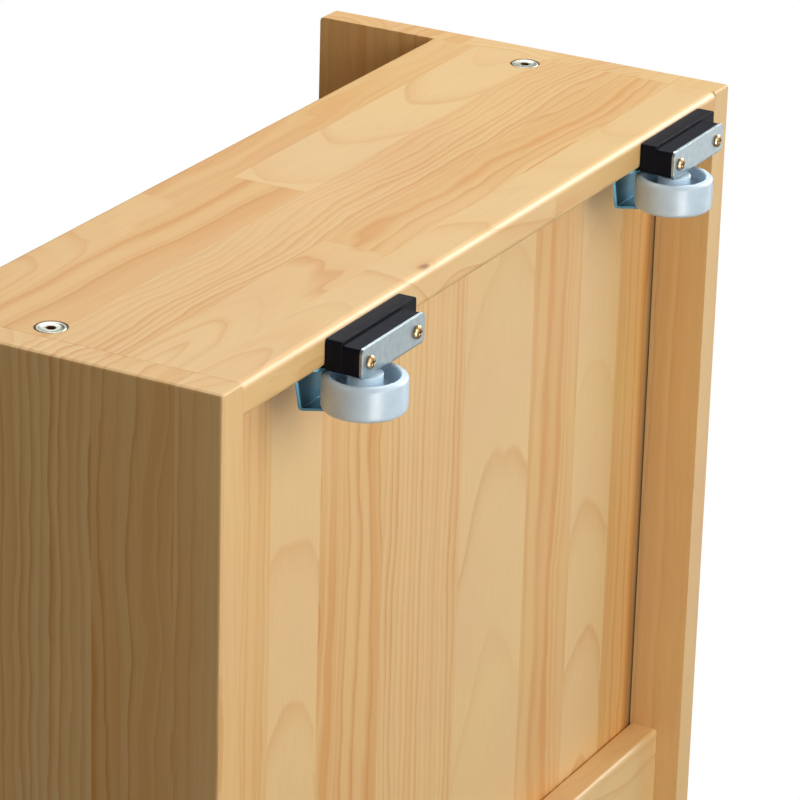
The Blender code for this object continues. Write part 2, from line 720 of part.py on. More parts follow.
def place_castors(finishes):
    """Four like castors, wheels inboard. The left side is the right side turned half round."""
    black = finishes["black_plastic"]
    length = SHEET + 3 * REST_GAP + BASE_HEIGHT + CAP_HEIGHT + SCREW_IN_BOARD
    screw = screw_mesh("castor_screw", length, finishes["brass_plate"])
    pieces = {
        "riser_base": (riser_mesh("base", BASE_LENGTH, BASE_HEIGHT, RISER_INSET, black), BASE_DROP),
        "riser_cap": (
            riser_mesh("cap", CAP_LENGTH, CAP_HEIGHT, RISER_INSET + CAP_STEP, black),
            CAP_DROP,
        ),
        "bracket": (bracket_mesh(finishes["zinc"]), 0),
        "axle": (axle_mesh(finishes["zinc"]), AXLE_DROP),
    }
    wheel = wheel_mesh(finishes["grey_plastic"])
    for side_name, side in (("right", 1), ("left", -1)):
        for end_name, end in (("front", -1), ("back", 1)):
            castor = f"{end_name}_{side_name}"
            y = side * AXLE_YS[end * side]
            frame = bpy.data.objects.new(f"{castor}_castor", None)
            bpy.context.scene.collection.objects.link(frame)
            frame.location = (side * HALF_WIDTH, y, LOWER_EDGE)
            frame.rotation_euler.z = 0 if side > 0 else math.pi
            for name, (mesh, drop) in pieces.items():
                place = Matrix.Translation((0, 0, -drop))
                object_of(f"{castor}_{name}", mesh, None, place, frame)
            place = Matrix.Translation((-WHEEL_MIDDLE, 0, -AXLE_DROP))
            object_of(f"{castor}_wheel", wheel, None, place, frame)
            for number, run in enumerate(SCREW_RUNS, 1):
                at = (-PLATE_MIDDLE, run, -PLATE_DROP - SHEET - REST_GAP)
                place = Matrix.Translation(at) @ Matrix.Rotation(math.pi, 4, "X")
                object_of(f"{castor}_screw_{number}", screw, None, place, frame)


def main():
    for old in list(bpy.data.objects):
        bpy.data.objects.remove(old)
    finishes = make_materials()
    pine = finishes["pine"]
    make_end_board("front_board", -1, pine)
    make_end_board("back_board", 1, pine)
    make_side_board("right_side_board", 1, pine)
    make_side_board("left_side_board", -1, pine)
    make_floor_panel("right_floor_panel", 1, pine)
    make_floor_panel("left_floor_panel", -1, pine)
    make_batten(pine)
    place_corner_fasteners(finishes)
    place_batten_screws(finishes["zinc"])
    place_castors(finishes)


main()
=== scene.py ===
"""The looks of a pine storage box on castors: finer pieces, materials, light and camera.

It is laid out as an add-on and run as a script: each piece or group of like pieces has an operator.
"""

import json
import math
import random

import bmesh
import bpy
from bpy.props import FloatProperty, FloatVectorProperty, PointerProperty
from mathutils import Matrix, Vector

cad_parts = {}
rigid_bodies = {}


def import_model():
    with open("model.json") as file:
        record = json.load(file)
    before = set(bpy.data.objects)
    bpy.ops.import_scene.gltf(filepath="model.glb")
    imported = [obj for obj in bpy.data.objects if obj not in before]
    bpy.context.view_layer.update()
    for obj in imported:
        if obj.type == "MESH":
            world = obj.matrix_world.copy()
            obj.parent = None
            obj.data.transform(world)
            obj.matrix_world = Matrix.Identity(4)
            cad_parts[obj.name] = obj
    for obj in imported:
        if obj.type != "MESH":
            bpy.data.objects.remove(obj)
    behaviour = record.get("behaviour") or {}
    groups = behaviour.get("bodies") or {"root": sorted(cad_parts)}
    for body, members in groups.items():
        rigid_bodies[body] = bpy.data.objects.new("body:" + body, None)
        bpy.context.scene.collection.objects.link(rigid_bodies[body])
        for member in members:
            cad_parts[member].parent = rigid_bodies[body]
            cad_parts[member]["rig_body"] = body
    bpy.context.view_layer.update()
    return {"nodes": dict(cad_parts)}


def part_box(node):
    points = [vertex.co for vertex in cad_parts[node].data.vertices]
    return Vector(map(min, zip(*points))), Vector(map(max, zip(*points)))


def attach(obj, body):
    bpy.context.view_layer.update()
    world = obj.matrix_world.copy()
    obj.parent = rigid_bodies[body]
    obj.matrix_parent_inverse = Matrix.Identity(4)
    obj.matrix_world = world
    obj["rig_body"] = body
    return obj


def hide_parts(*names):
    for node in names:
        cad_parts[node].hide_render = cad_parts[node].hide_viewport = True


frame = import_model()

bl_info = {
    "name": "Pine rolling box",
    "version": (1, 0, 0),
    "blender": (4, 5, 0),
    "location": "3D View > Sidebar > Rolling box",
    "description": "Finishes, light and camera for a pine storage box on castors",
    "category": "Object",
}

NODES = frame["nodes"]
CASTORS = ("front_right", "back_right", "front_left", "back_left")
SIDE_LOW, SIDE_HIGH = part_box("right_side_board")
FRONT_LOW, FRONT_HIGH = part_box("front_board")
FLOOR_LOW, FLOOR_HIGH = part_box("right_floor_panel")
HALF_WIDTH, HALF_LENGTH = FRONT_HIGH.x, -FRONT_LOW.y
LOWER_EDGE = SIDE_LOW.z
BOARD = SIDE_HIGH.x - SIDE_LOW.x  # thickness of the boards


def linear(code):
    """A linear colour from an sRGB hex code."""
    values = [int(code[i : i + 2], 16) / 255 for i in (1, 3, 5)]
    return tuple(v / 12.92 if v <= 0.04045 else ((v + 0.055) / 1.055) ** 2.4 for v in values)


def colour(name, code, description):
    return FloatVectorProperty(
        name=name,
        description=description,
        subtype="COLOR",
        size=3,
        min=0,
        max=1,
        default=linear(code),
    )


class CART_PG_wood(bpy.types.PropertyGroup):
    """The colours and sizes of the pine."""

    early: colour("Earlywood", "#ECC27C", "The pale part of the rings in warm wood")
    cream: colour("Sapwood", "#F1CE90", "The pale part of the rings in the palest wood")
    late: colour("Latewood", "#D8964A", "The dark line that ends each growth ring")
    heart: colour("Heart bands", "#DE9A47", "The warm bands along the grain")
    rose: colour("Rosy wood", "#EBBE8C", "The faintly pink patches")
    knot: colour("Knot", "#9A5A2C", "The middle of the small knot")
    # Painted shade: the colour that the floor is darkened to along its edges, where shade falls in the
    # corners
    corner: colour("Corners", "#5A3412", "The darker finish along the floor's edges")


class CART_PG_fittings(bpy.types.PropertyGroup):
    """The colours and sizes of the castors and fittings."""

    wheel: colour("Wheels", "#CDE3F3", "The blue-grey plastic of the wheels")
    riser: colour("Risers", "#0B0F1B", "The black plastic of the castors' risers")
    zinc: colour("Zinc", "#B2BFC4", "The clear zinc plating of the brackets")
    # Painted shade: the darker blue that the brackets are painted towards the boards, where their webs sit
    # in shade
    passivate: colour("Blue passivate", "#4F7888", "The deeper blue inside the brackets")
    screw: colour("Screws", "#BDA37C", "The yellow zinc plating of the castor screws")
    cam: colour("Cams", "#B6B8AE", "The nickel plating of the cams")
    rim_round: FloatProperty(
        name="Rim rounding",
        description="Radius of the wheels' rounded rims",
        default=0.0026,
        unit="LENGTH",
    )


class CART_PG_stage(bpy.types.PropertyGroup):
    """The camera and the room."""

    lens: FloatProperty(
        name="Lens",
        description="Focal length of the camera",
        default=193.8,
        subtype="DISTANCE_CAMERA",
    )
    room: colour("Room", "#FFFFFF", "The pale room as it is seen")
    walls: colour("Walls", "#FFF6EA", "The dimmer light that the room gives")
    ground: colour("Floor", "#E9E7E3", "The pale floor")


# Nodes and materials


def add(tree, kind, inputs=None, **settings):
    """Adds a node with its settings. Each input is a socket to link or a value."""
    node = tree.nodes.new(kind)
    for name, value in settings.items():
        setattr(node, name, value)
    for key, value in (inputs or {}).items():
        if isinstance(value, bpy.types.NodeSocket):
            tree.links.new(value, node.inputs[key])
        else:
            node.inputs[key].default_value = value
    return node


def math_of(tree, operation, *values, clamp=False):
    """The result of a Math node."""
    inputs = dict(enumerate(values))
    return add(tree, "ShaderNodeMath", inputs, operation=operation, use_clamp=clamp).outputs[0]


def blend(tree, share, first, second, kind="MIX"):
    """The result of mixing two colours."""
    inputs = {0: share, 6: first, 7: second}
    node = add(tree, "ShaderNodeMix", inputs, data_type="RGBA", blend_type=kind)
    return node.outputs[2]


def distance(tree, one, other):
    """The distance that two sides of a right angle span."""
    squares = [math_of(tree, "POWER", side, 2.0) for side in (one, other)]
    return math_of(tree, "SQRT", math_of(tree, "ADD", *squares))


def ramp(tree, value, *stops):
    """A value put through (position, brightness) stops."""
    node = add(tree, "ShaderNodeValToRGB", {0: value})
    points = node.color_ramp.elements
    while len(points) < len(stops):
        points.new(0.5)
    for point, (position, level) in zip(points, stops):
        point.position = position
        point.color = (level, level, level, 1)
    return node.outputs[0]


def new_material(name, **values):
    """A material with its shader's plain values, and its node tree and shader."""
    made = bpy.data.materials.new(name)
    made.use_nodes = True
    shader = made.node_tree.nodes["Principled BSDF"]
    for key, value in values.items():
        shader.inputs[key.replace("_", " ")].default_value = value
    return made, made.node_tree, shader


def rgba(value):
    return (*value[:3], 1)


# The staves that each board is glued up from. Each row is where the stave starts across the board,
# how much its rings wander, where its butt joint is along the grain, and the wood before and after
# the joint, or one wood where there is no joint in sight. A wood is the pith's place across the
# board and its depth, its lean, the ring spacing, how warm and how lined it is. Sizes are in mm.
# Across starts at the board's lower or front edge.
NO_JOINT = 900
# The lookups hold values from 0 to 1, so each kind of value has a largest size, in mm
MOST_JOINT, MOST_DEPTH, MOST_RING, MOST_WANDER = 1000, 100, 20, 10

LATEWOOD = 0.0050  # the widest that the dark part of a ring gets, in metres like all sizes below
WARM_BAND = 0.011  # the spacing of the warm bands
CORNER_SHADE_REACH = 0.014  # how far the painted shade along the floor's edges reaches
RING_SHADE_WIDTH, RING_SHADE_FADE = 0.0010, 0.0006  # the width of the dark ring painted round each cam as shade, and its soft edge

RIGHT_SIDE = (
    (0, 3.0, 60, (13, 44, 0.20, 13.0, 0.25, 0.65), (16, 50, -0.20, 14.0, 0.20, 0.65)),
    (26, 9.5, -70, (46, 42, 0.20, 12.0, 0.40, 0.75), (-14, 9, -0.03, 9.0, 0.70, 1.00)),
    (62, 4.6, NO_JOINT, (-22, 12, 0.02, 4.3, 0.35, 1.00)),
    (106, 3.0, -12, (84, 40, 0.05, 15.0, 0.85, 0.90), (131, 61, -0.24, 18.0, 0.10, 0.65)),
    (150, 6.0, -60, (172, 46, 0.18, 12.0, 0.65, 0.85), (200, 14, 0.03, 9.0, 0.80, 0.95)),
)
FLOOR = (
    (0, 2.0, NO_JOINT, (-60, 15, 0.02, 9.0, 0.40, 0.60)),
    (63, 2.0, NO_JOINT, (0, 12, 0.01, 14.0, 0.75, 0.70)),
    (86, 1.2, NO_JOINT, (109, 60, 0.17, 15.0, 0.05, 0.55)),
    (134, 6.0, NO_JOINT, (60, 8, 0.02, 11.0, 0.75, 1.00)),
    (202, 2.0, NO_JOINT, (140, 12, 0.02, 5.6, 0.25, 0.85)),
    (288, 1.6, NO_JOINT, (334, 70, 0.16, 18.0, 0.05, 0.55)),
    (365, 4.5, NO_JOINT, (300, 10, 0.02, 18.0, 0.90, 0.85)),
    (420, 1.2, NO_JOINT, (445, 56, 0.17, 14.0, 0.05, 0.55)),
    (468, 2.4, NO_JOINT, (410, 10, 0.02, 11.0, 0.85, 0.90)),
)
FRONT = (
    (0, 2.0, NO_JOINT, (-30, 14, 0.02, 8.0, 0.45, 0.70)),
    (25, 5.0, NO_JOINT, (-30, 14, 0.02, 8.0, 0.70, 1.00)),
    (70, 1.8, NO_JOINT, (-10, 10, 0.01, 5.8, 0.25, 1.00)),
    (112, 2.4, -150, (135, 36, 0.09, 8.0, 0.10, 0.55), (160, 12, 0.03, 6.0, 0.40, 0.80)),
    (160, 2.4, NO_JOINT, (120, 12, 0.02, 5.0, 0.35, 0.80)),
    (205, 2.4, 120, (228, 32, 0.09, 8.0, 0.15, 0.60), (250, 14, 0.04, 7.0, 0.50, 0.80)),
)
BACK = (
    (0, 2.5, NO_JOINT, (-60, 10, 0.02, 13.0, 0.30, 0.50)),
    (48, 3.0, -120, (72, 34, 0.09, 8.0, 0.15, 0.55), (20, 12, 0.02, 5.5, 0.40, 0.80)),
    (104, 2.4, 90, (60, 12, 0.02, 4.6, 0.30, 0.80), (130, 34, 0.10, 8.0, 0.10, 0.55)),
    (158, 3.0, NO_JOINT, (110, 12, 0.02, 9.0, 0.65, 0.90)),
    (208, 2.0, -40, (230, 30, 0.09, 8.0, 0.15, 0.55), (240, 12, 0.03, 6.0, 0.50, 0.80)),
)


def usual_staves(seed, width, count=None):
    """Staves of ordinary mixed wood for a board of a width in mm."""
    pick = random.Random(seed)
    count = count or max(1, round(width / 55))
    rows = []
    for index in range(count):
        start = width * index / count + (pick.uniform(-6, 6) if index else 0)
        woods = []
        for _ in range(2):
            if pick.random() < 0.5:  # flat sawn: nested arches
                pith, depth, lean = pick.uniform(10, 45), pick.uniform(26, 42), pick.uniform(0.07, 0.13)
                woods.append((start + pith, depth, lean, pick.uniform(7, 10), 0.1, 0.5))
            else:  # straight lines
                pith, depth = pick.uniform(-70, -20), pick.uniform(8, 16)
                ring, warm = pick.uniform(4, 10), pick.uniform(0.1, 0.7)
                woods.append((start + pith, depth, 0.02, ring, warm, 0.8))
        rows.append((start, pick.uniform(1.5, 3.5), pick.uniform(-250, 250), *woods))
    return rows


def steps(tree, at, rows):
    """Looks up three values that change in steps. rows are (start, values), each from 0 to 1."""
    node = add(tree, "ShaderNodeValToRGB", {0: at})
    node.color_ramp.interpolation = "CONSTANT"
    points = node.color_ramp.elements
    while len(points) < len(rows):
        points.new(0.5)
    for point, (start, values) in zip(points, rows):
        point.position = start
        point.color = (*values, 1)
    return add(tree, "ShaderNodeSeparateColor", {0: node.outputs[0]}).outputs


def pine(name, axes, low, middle, width, staves, knot=None, bores=(), let_in=None):
    """Glued pine panel, planed, sanded and lacquered satin: staves, growth rings, warm streaks.

    axes are the letters of the board's grain, width and thickness. low is where its width starts,
    and middle is the middle of its thickness. knot is a place along the grain and across it, and
    bores are such places with a radius, each ringed with painted shade. let_in is how far the
    board's edges go into grooves, and where it is given the floor's edges get painted shade.
    """
    wood = bpy.context.scene.cart_wood
    # Satin lacquer on a soft wood: a broad sheen under a thin harder coat
    made, tree, shader = new_material(name, IOR=1.45, Coat_Weight=0.08, Coat_Roughness=0.3)
    place = add(tree, "ShaderNodeTexCoord").outputs["Object"]
    split = add(tree, "ShaderNodeSeparateXYZ", {0: place})
    grain, across, depth = (split.outputs[letter] for letter in axes)
    across = math_of(tree, "SUBTRACT", across, low)
    depth = math_of(tree, "SUBTRACT", depth, middle)

    # The stave at a place, then the wood on this side of the stave's joint
    share = math_of(tree, "DIVIDE", across, width, clamp=True)
    size = width * 1000
    rows = []
    for index, (start, wander, joint, *_) in enumerate(staves):
        values = wander / MOST_WANDER, (joint / MOST_JOINT + 1) / 2, index / len(staves)
        rows.append((start / size, values))
    stave = steps(tree, share, rows)
    joint = math_of(tree, "MULTIPLY_ADD", stave[1], 2.0, -1.0)
    beyond = math_of(tree, "GREATER_THAN", grain, joint)
    # The wood after the joints is in the lookup's second half, and the share stops just short of it
    at = math_of(tree, "MULTIPLY", math_of(tree, "ADD", share, beyond), 0.4999)
    first, second = [], []
    for half in (0, 1):
        for start, _, _, *woods in staves:
            pith, deep, lean, ring, warm, lined = woods[half % len(woods)]
            where = (start / size + half) / 2
            first.append((where, ((pith / size + 1) / 3, deep / MOST_DEPTH, ring / MOST_RING)))
            second.append((where, (lean + 0.5, warm, lined)))
    first, second = steps(tree, at, first), steps(tree, at, second)

    # Wander of the rings: slow along the grain and quicker across it, its own in each stave
    own = math_of(tree, "MULTIPLY", math_of(tree, "MULTIPLY_ADD", beyond, 0.37, stave[2]), 91.0)
    drawn = add(tree, "ShaderNodeCombineXYZ", {
        0: math_of(tree, "MULTIPLY_ADD", grain, 9.0, own),
        1: math_of(tree, "MULTIPLY", across, 26.0),
        2: math_of(tree, "MULTIPLY", depth, 26.0),
    }).outputs[0]
    wander = add(tree, "ShaderNodeTexNoise", {0: drawn, "Scale": 1.0, "Detail": 2.0, "Roughness": 0.4})
    wander = math_of(tree, "SUBTRACT", wander.outputs[0], 0.5)
    # A finer ripple of a few tenths of a millimetre
    ripple = add(tree, "ShaderNodeCombineXYZ", {
        0: math_of(tree, "MULTIPLY", grain, 30.0),
        1: math_of(tree, "MULTIPLY_ADD", across, 120.0, own),
        2: math_of(tree, "MULTIPLY", depth, 120.0),
    }).outputs[0]
    ripple = add(tree, "ShaderNodeTexNoise", {0: ripple, "Scale": 1.0, "Detail": 2.0})
    ripple = math_of(tree, "SUBTRACT", ripple.outputs[0], 0.5)

    # Distance from a pith that leans away from the face, so the rings come out as nested arches
    pith = math_of(tree, "MULTIPLY_ADD", first[0], 3 * width, -width)
    aside = math_of(tree, "SUBTRACT", across, pith)
    lean = math_of(tree, "MULTIPLY", math_of(tree, "SUBTRACT", second[0], 0.5), grain)
    below = math_of(tree, "MULTIPLY_ADD", first[1], MOST_DEPTH / 1000, lean)
    below = math_of(tree, "ADD", below, depth)
    radius = distance(tree, aside, below)
    wander = math_of(tree, "MULTIPLY", wander, math_of(tree, "MULTIPLY", stave[0], 0.05))
    radius = math_of(tree, "ADD", radius, wander)
    # Arches stay smooth, because a leaning ring shows every ripple enlarged
    steady = math_of(tree, "ABSOLUTE", math_of(tree, "SUBTRACT", second[0], 0.5))
    steady = math_of(tree, "MULTIPLY_ADD", steady, -0.034, 0.0046, clamp=True)
    radius = math_of(tree, "MULTIPLY_ADD", ripple, steady, radius)
    if knot:
        # The rings bend round the knot, twice as far along the grain as across it
        far_x = math_of(tree, "MULTIPLY", math_of(tree, "SUBTRACT", grain, knot[0]), 0.5)
        far_y = math_of(tree, "SUBTRACT", across, knot[1])
        far = distance(tree, far_x, far_y)
        swell = math_of(tree, "EXPONENT", math_of(tree, "MULTIPLY", far, -130.0))
        radius = math_of(tree, "MULTIPLY_ADD", swell, 0.020, radius)

    # Rings: pale wood that darkens to a line, each ring as strong as its year made it
    spacing = math_of(tree, "MULTIPLY", first[2], MOST_RING / 1000)
    rings = math_of(tree, "DIVIDE", radius, spacing)
    year = math_of(tree, "ADD", math_of(tree, "FLOOR", rings), own)
    strength = add(tree, "ShaderNodeTexWhiteNoise", {"W": year}, noise_dimensions="1D")
    strength = math_of(tree, "MULTIPLY_ADD", strength.outputs[0], 0.8, 0.25)
    # The dark part is the same width in wide rings and narrow ones
    left = math_of(tree, "SUBTRACT", 1.0, math_of(tree, "FRACT", rings))
    left = math_of(tree, "MULTIPLY", left, spacing)
    dark = math_of(tree, "MULTIPLY_ADD", left, -1 / LATEWOOD, 1.0, clamp=True)
    dark = ramp(tree, dark, (0.0, 0.0), (0.3, 0.12), (0.65, 0.5), (0.88, 0.95), (1.0, 0.15))
    dark = math_of(tree, "MULTIPLY", math_of(tree, "MULTIPLY", dark, strength), second[2])

    # Warm bands of several years together, which follow the rings
    bands = math_of(tree, "MULTIPLY_ADD", radius, 1 / WARM_BAND, own)
    inputs = {"W": bands, "Scale": 1.0, "Detail": 1.0}
    bands = add(tree, "ShaderNodeTexNoise", inputs, noise_dimensions="1D")
    bands = ramp(tree, bands.outputs[0], (0.42, 0.0), (0.68, 1.0))
    warm = math_of(tree, "MULTIPLY", second[1], math_of(tree, "MULTIPLY_ADD", bands, 0.8, 0.2))
    # They fade in and out along the grain
    fade = add(tree, "ShaderNodeTexNoise", {0: drawn, "Scale": 0.6, "Detail": 1.0})
    fade = ramp(tree, fade.outputs[0], (0.3, 0.35), (0.6, 1.0))
    warm = math_of(tree, "MULTIPLY", warm, fade)
    dark = math_of(tree, "MULTIPLY", dark, math_of(tree, "MULTIPLY_ADD", fade, 0.6, 0.4))

    # Fibres: finer than a millimetre in the wood, drawn about 0.6 mm wide so that they show
    fibres = add(tree, "ShaderNodeCombineXYZ", {
        0: math_of(tree, "MULTIPLY", grain, 40.0),
        1: math_of(tree, "MULTIPLY", across, 1500.0),
        2: math_of(tree, "MULTIPLY", depth, 1500.0),
    }).outputs[0]
    fibre = add(tree, "ShaderNodeTexNoise", {0: fibres, "Scale": 1.0, "Detail": 2.0, "Roughness": 0.6})
    cloud = add(tree, "ShaderNodeTexNoise", {0: place, "Scale": 11.0, "Detail": 3.0})

    base = blend(tree, second[1], rgba(wood.cream), rgba(wood.early))
    rosy = ramp(tree, cloud.outputs[0], (0.35, 0.0), (0.7, 0.35))
    base = blend(tree, rosy, base, rgba(wood.rose))
    base = blend(tree, warm, base, rgba(wood.heart))
    base = blend(tree, math_of(tree, "MULTIPLY", dark, 0.95), base, rgba(wood.late))
    fine = ramp(tree, fibre.outputs[0], (0.3, 0.96), (0.7, 1.02))
    base = blend(tree, 1.0, base, fine, "MULTIPLY")
    if knot:
        core = ramp(tree, math_of(tree, "MULTIPLY", far, 100.0), (0.08, 1.0), (0.30, 0.0))
        base = blend(tree, math_of(tree, "MULTIPLY", core, 0.85), base, rgba(wood.knot))
    if let_in is not None:
        # Painted shade: the floor darkens towards its edges, in the corner where the board meets the next
        # one
        near = math_of(tree, "MINIMUM", across, math_of(tree, "SUBTRACT", width, across))
        ends = math_of(tree, "SUBTRACT", HALF_WIDTH - BOARD + let_in, math_of(tree, "ABSOLUTE", grain))
        near = math_of(tree, "MINIMUM", near, ends)
        full = 1 + let_in / CORNER_SHADE_REACH
        edge_shade = math_of(tree, "MULTIPLY_ADD", near, -1 / CORNER_SHADE_REACH, full, clamp=True)
        edge_shade = math_of(tree, "MULTIPLY", math_of(tree, "POWER", edge_shade, 1.5), 0.92)
        base = blend(tree, edge_shade, base, rgba(wood.corner))
    for along, aside, radius in bores:
        # Painted shade: a dark ring round each cam's bore, where the gap around the cam lies in shade
        far_x = math_of(tree, "SUBTRACT", grain, along)
        away = distance(tree, far_x, math_of(tree, "SUBTRACT", across, aside))
        edge = (radius + RING_SHADE_WIDTH) / RING_SHADE_FADE
        ring_shade = math_of(tree, "MULTIPLY_ADD", away, -1 / RING_SHADE_FADE, edge, clamp=True)
        base = blend(tree, math_of(tree, "MULTIPLY", ring_shade, 0.8), base, rgba(wood.knot))
    tree.links.new(base, shader.inputs["Base Color"])
    rough = math_of(tree, "MULTIPLY_ADD", dark, 0.08, 0.48)
    tree.links.new(rough, shader.inputs["Roughness"])
    height = math_of(tree, "MULTIPLY_ADD", fibre.outputs[0], 0.5, math_of(tree, "MULTIPLY", dark, -0.6))
    bump = add(tree, "ShaderNodeBump", {"Height": height, "Strength": 0.3, "Distance": 0.00012})
    tree.links.new(bump.outputs[0], shader.inputs["Normal"])
    return made


def beech():
    """Beech dowel rod, turned and fluted dry: pinkish brown with short dark flecks."""
    made, tree, shader = new_material("turned_beech", Roughness=0.62, IOR=1.5)
    place = add(tree, "ShaderNodeTexCoord").outputs["Object"]
    # Flecks 3 mm long and 0.4 mm wide
    stretch = add(tree, "ShaderNodeMapping", {0: place, 3: (2500.0, 330.0, 2500.0)})
    fleck = add(tree, "ShaderNodeTexNoise", {0: stretch.outputs[0], "Scale": 1.0, "Detail": 1.0})
    mask = ramp(tree, fleck.outputs[0], (0.55, 0.0), (0.7, 1.0))
    base = blend(tree, mask, rgba(linear("#CFA27A")), rgba(linear("#9C6A45")))
    tree.links.new(base, shader.inputs["Base Color"])
    return made


def moulded_black():
    """Moulded black polypropylene: satin, finely textured, greyer where it is rubbed."""
    look = bpy.context.scene.cart_fittings
    made, tree, shader = new_material("moulded_polypropylene", IOR=1.2)
    place = add(tree, "ShaderNodeTexCoord").outputs["Object"]
    # Spark-eroded texture, 0.1 mm in the mould and drawn at 0.35 mm so that it shows
    grit = add(tree, "ShaderNodeTexNoise", {0: place, "Scale": 2800.0, "Detail": 2.0, "Roughness": 0.7})
    cloud = add(tree, "ShaderNodeTexNoise", {0: place, "Scale": 120.0, "Detail": 3.0})
    haze = ramp(tree, cloud.outputs[0], (0.42, 0.0), (0.68, 1.0))
    base = blend(tree, math_of(tree, "MULTIPLY", haze, 0.45), rgba(look.riser), rgba(linear("#171B27")))
    tree.links.new(base, shader.inputs["Base Color"])
    rough = math_of(tree, "MULTIPLY_ADD", haze, 0.12, 0.5)
    tree.links.new(rough, shader.inputs["Roughness"])
    bump = add(tree, "ShaderNodeBump", {"Height": grit.outputs[0], "Strength": 0.5, "Distance": 0.00005})
    tree.links.new(bump.outputs[0], shader.inputs["Normal"])
    return made


def moulded_grey():
    """Moulded blue-grey nylon: a soft gloss, with a faint mottle and fine scuffs on the tread."""
    look = bpy.context.scene.cart_fittings
    made, tree, shader = new_material("moulded_nylon", IOR=1.53, Coat_Weight=0.12, Coat_Roughness=0.3)
    place = add(tree, "ShaderNodeTexCoord").outputs["Object"]
    cloud = add(tree, "ShaderNodeTexNoise", {0: place, "Scale": 90.0, "Detail": 3.0})
    mottle = ramp(tree, cloud.outputs[0], (0.35, 0.0), (0.7, 1.0))
    paler = rgba([min(1, c * 1.12) for c in look.wheel])
    base = blend(tree, mottle, rgba(look.wheel), paler)
    # Scuffs a third of a millimetre wide, round the tread
    scuff = add(tree, "ShaderNodeTexNoise", {0: place, "Scale": 700.0, "Detail": 4.0, "Roughness": 0.7})
    marks = ramp(tree, scuff.outputs[0], (0.56, 0.0), (0.74, 1.0))
    base = blend(tree, math_of(tree, "MULTIPLY", marks, 0.18), base, rgba(linear("#8F9BA6")))
    tree.links.new(base, shader.inputs["Base Color"])
    rough = math_of(tree, "MULTIPLY_ADD", marks, 0.12, 0.40)
    tree.links.new(rough, shader.inputs["Roughness"])
    bump = add(tree, "ShaderNodeBump", {"Height": cloud.outputs[0], "Strength": 0.12, "Distance": 0.0004})
    tree.links.new(bump.outputs[0], shader.inputs["Normal"])
    return made


def plated(name, tint, other, roughness, spread, grain=(30.0, 30.0, 30.0), shade_above=None):
    """Plated metal: a metal sheen whose tint and polish drift a little from place to place.

    The last argument, where it is given, is the height from which the metal is painted a darker blue:
    painted shade on the brackets' webs, which sit in shade.
    """
    made, tree, shader = new_material(name, Metallic=1.0)
    place = add(tree, "ShaderNodeTexCoord").outputs["Object"]
    cloud = add(tree, "ShaderNodeTexNoise", {0: place, "Scale": 260.0, "Detail": 3.0})
    drift = ramp(tree, cloud.outputs[0], (0.35, 0.0), (0.65, 1.0))
    base = blend(tree, drift, rgba(tint), rgba(other))
    if shade_above is not None:
        # Painted shade: a darker blue from that height up
        height = add(tree, "ShaderNodeSeparateXYZ", {0: place}).outputs["Z"]
        start, fade = shade_above - 0.006, 0.008
        web_shade = math_of(tree, "MULTIPLY_ADD", height, 1 / fade, -start / fade, clamp=True)
        base = blend(tree, web_shade, base, rgba(bpy.context.scene.cart_fittings.passivate))
    tree.links.new(base, shader.inputs["Base Color"])
    # Rolling marks 0.2 mm apart
    stretch = add(tree, "ShaderNodeMapping", {0: place, 3: grain})
    lines = add(tree, "ShaderNodeTexNoise", {0: stretch.outputs[0], "Scale": 40.0, "Detail": 3.0})
    rough = math_of(tree, "MULTIPLY_ADD", lines.outputs[0], spread, roughness - spread / 2)
    tree.links.new(rough, shader.inputs["Roughness"])
    bump = add(tree, "ShaderNodeBump", {"Height": lines.outputs[0], "Strength": 0.15, "Distance": 0.00002})
    tree.links.new(bump.outputs[0], shader.inputs["Normal"])
    return made


# Pieces


def settle(bm, name, finish, body, nodes, angle=35):
    """Makes a bmesh a piece that rides on a body and stands for its CAD nodes."""
    mesh = bpy.data.meshes.new(name)
    bm.to_mesh(mesh)
    bm.free()
    mesh.shade_smooth()
    mesh.set_sharp_from_angle(angle=math.radians(angle))
    mesh.materials.append(finish)
    made = bpy.data.objects.new(name, mesh)
    bpy.context.scene.collection.objects.link(made)
    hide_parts(*nodes)
    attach(made, body)
    return made


def tidy_copy(node, finish, edge=0.0, reach=0.0):
    """A merged copy of a CAD node, shaded smooth over its rounded edges.

    edge softens the edges that are still sharp. reach lengthens it at both ends along Y.
    """
    bm = bmesh.new()
    bm.from_mesh(NODES[node].data)
    bmesh.ops.remove_doubles(bm, verts=bm.verts, dist=1e-6)
    bmesh.ops.dissolve_limit(bm, angle_limit=0.002, verts=bm.verts, edges=bm.edges)
    low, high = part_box(node)
    for vert in bm.verts:
        if min(vert.co.y - low.y, high.y - vert.co.y) < 1e-5:
            vert.co.y += math.copysign(reach, vert.co.y - (low.y + high.y) / 2)
    body = NODES[node]["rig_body"]
    made = settle(bm, f"{node}_finish", finish, body, [node])
    if edge:
        softened = made.modifiers.new("Softened edges", "BEVEL")
        softened.width = edge
        softened.segments = 2
        softened.limit_method = "ANGLE"
        softened.angle_limit = math.radians(40)
    normals = made.modifiers.new("Flat faces stay flat", "WEIGHTED_NORMAL")
    normals.keep_sharp = True
    return made


def spun(points, sides):
    """A bmesh turned round Z from a closed outline of (radius, height) points."""
    bm = bmesh.new()
    verts = [bm.verts.new((radius, 0, height)) for radius, height in points]
    edges = [bm.edges.new(pair) for pair in zip(verts, [*verts[1:], verts[0]])]
    bmesh.ops.spin(bm, geom=verts + edges, cent=(0, 0, 0), axis=(0, 0, 1), angle=2 * math.pi,
                   steps=sides, use_merge=True)
    bmesh.ops.remove_doubles(bm, verts=bm.verts, dist=1e-7)
    bmesh.ops.recalc_face_normals(bm, faces=bm.faces)
    return bm


def arc(centre, radius, start, end, parts):
    """The points of an arc between two angles in degrees."""
    angles = [math.radians(start + (end - start) * i / parts) for i in range(parts + 1)]
    return [(centre[0] + radius * math.cos(a), centre[1] + radius * math.sin(a)) for a in angles]


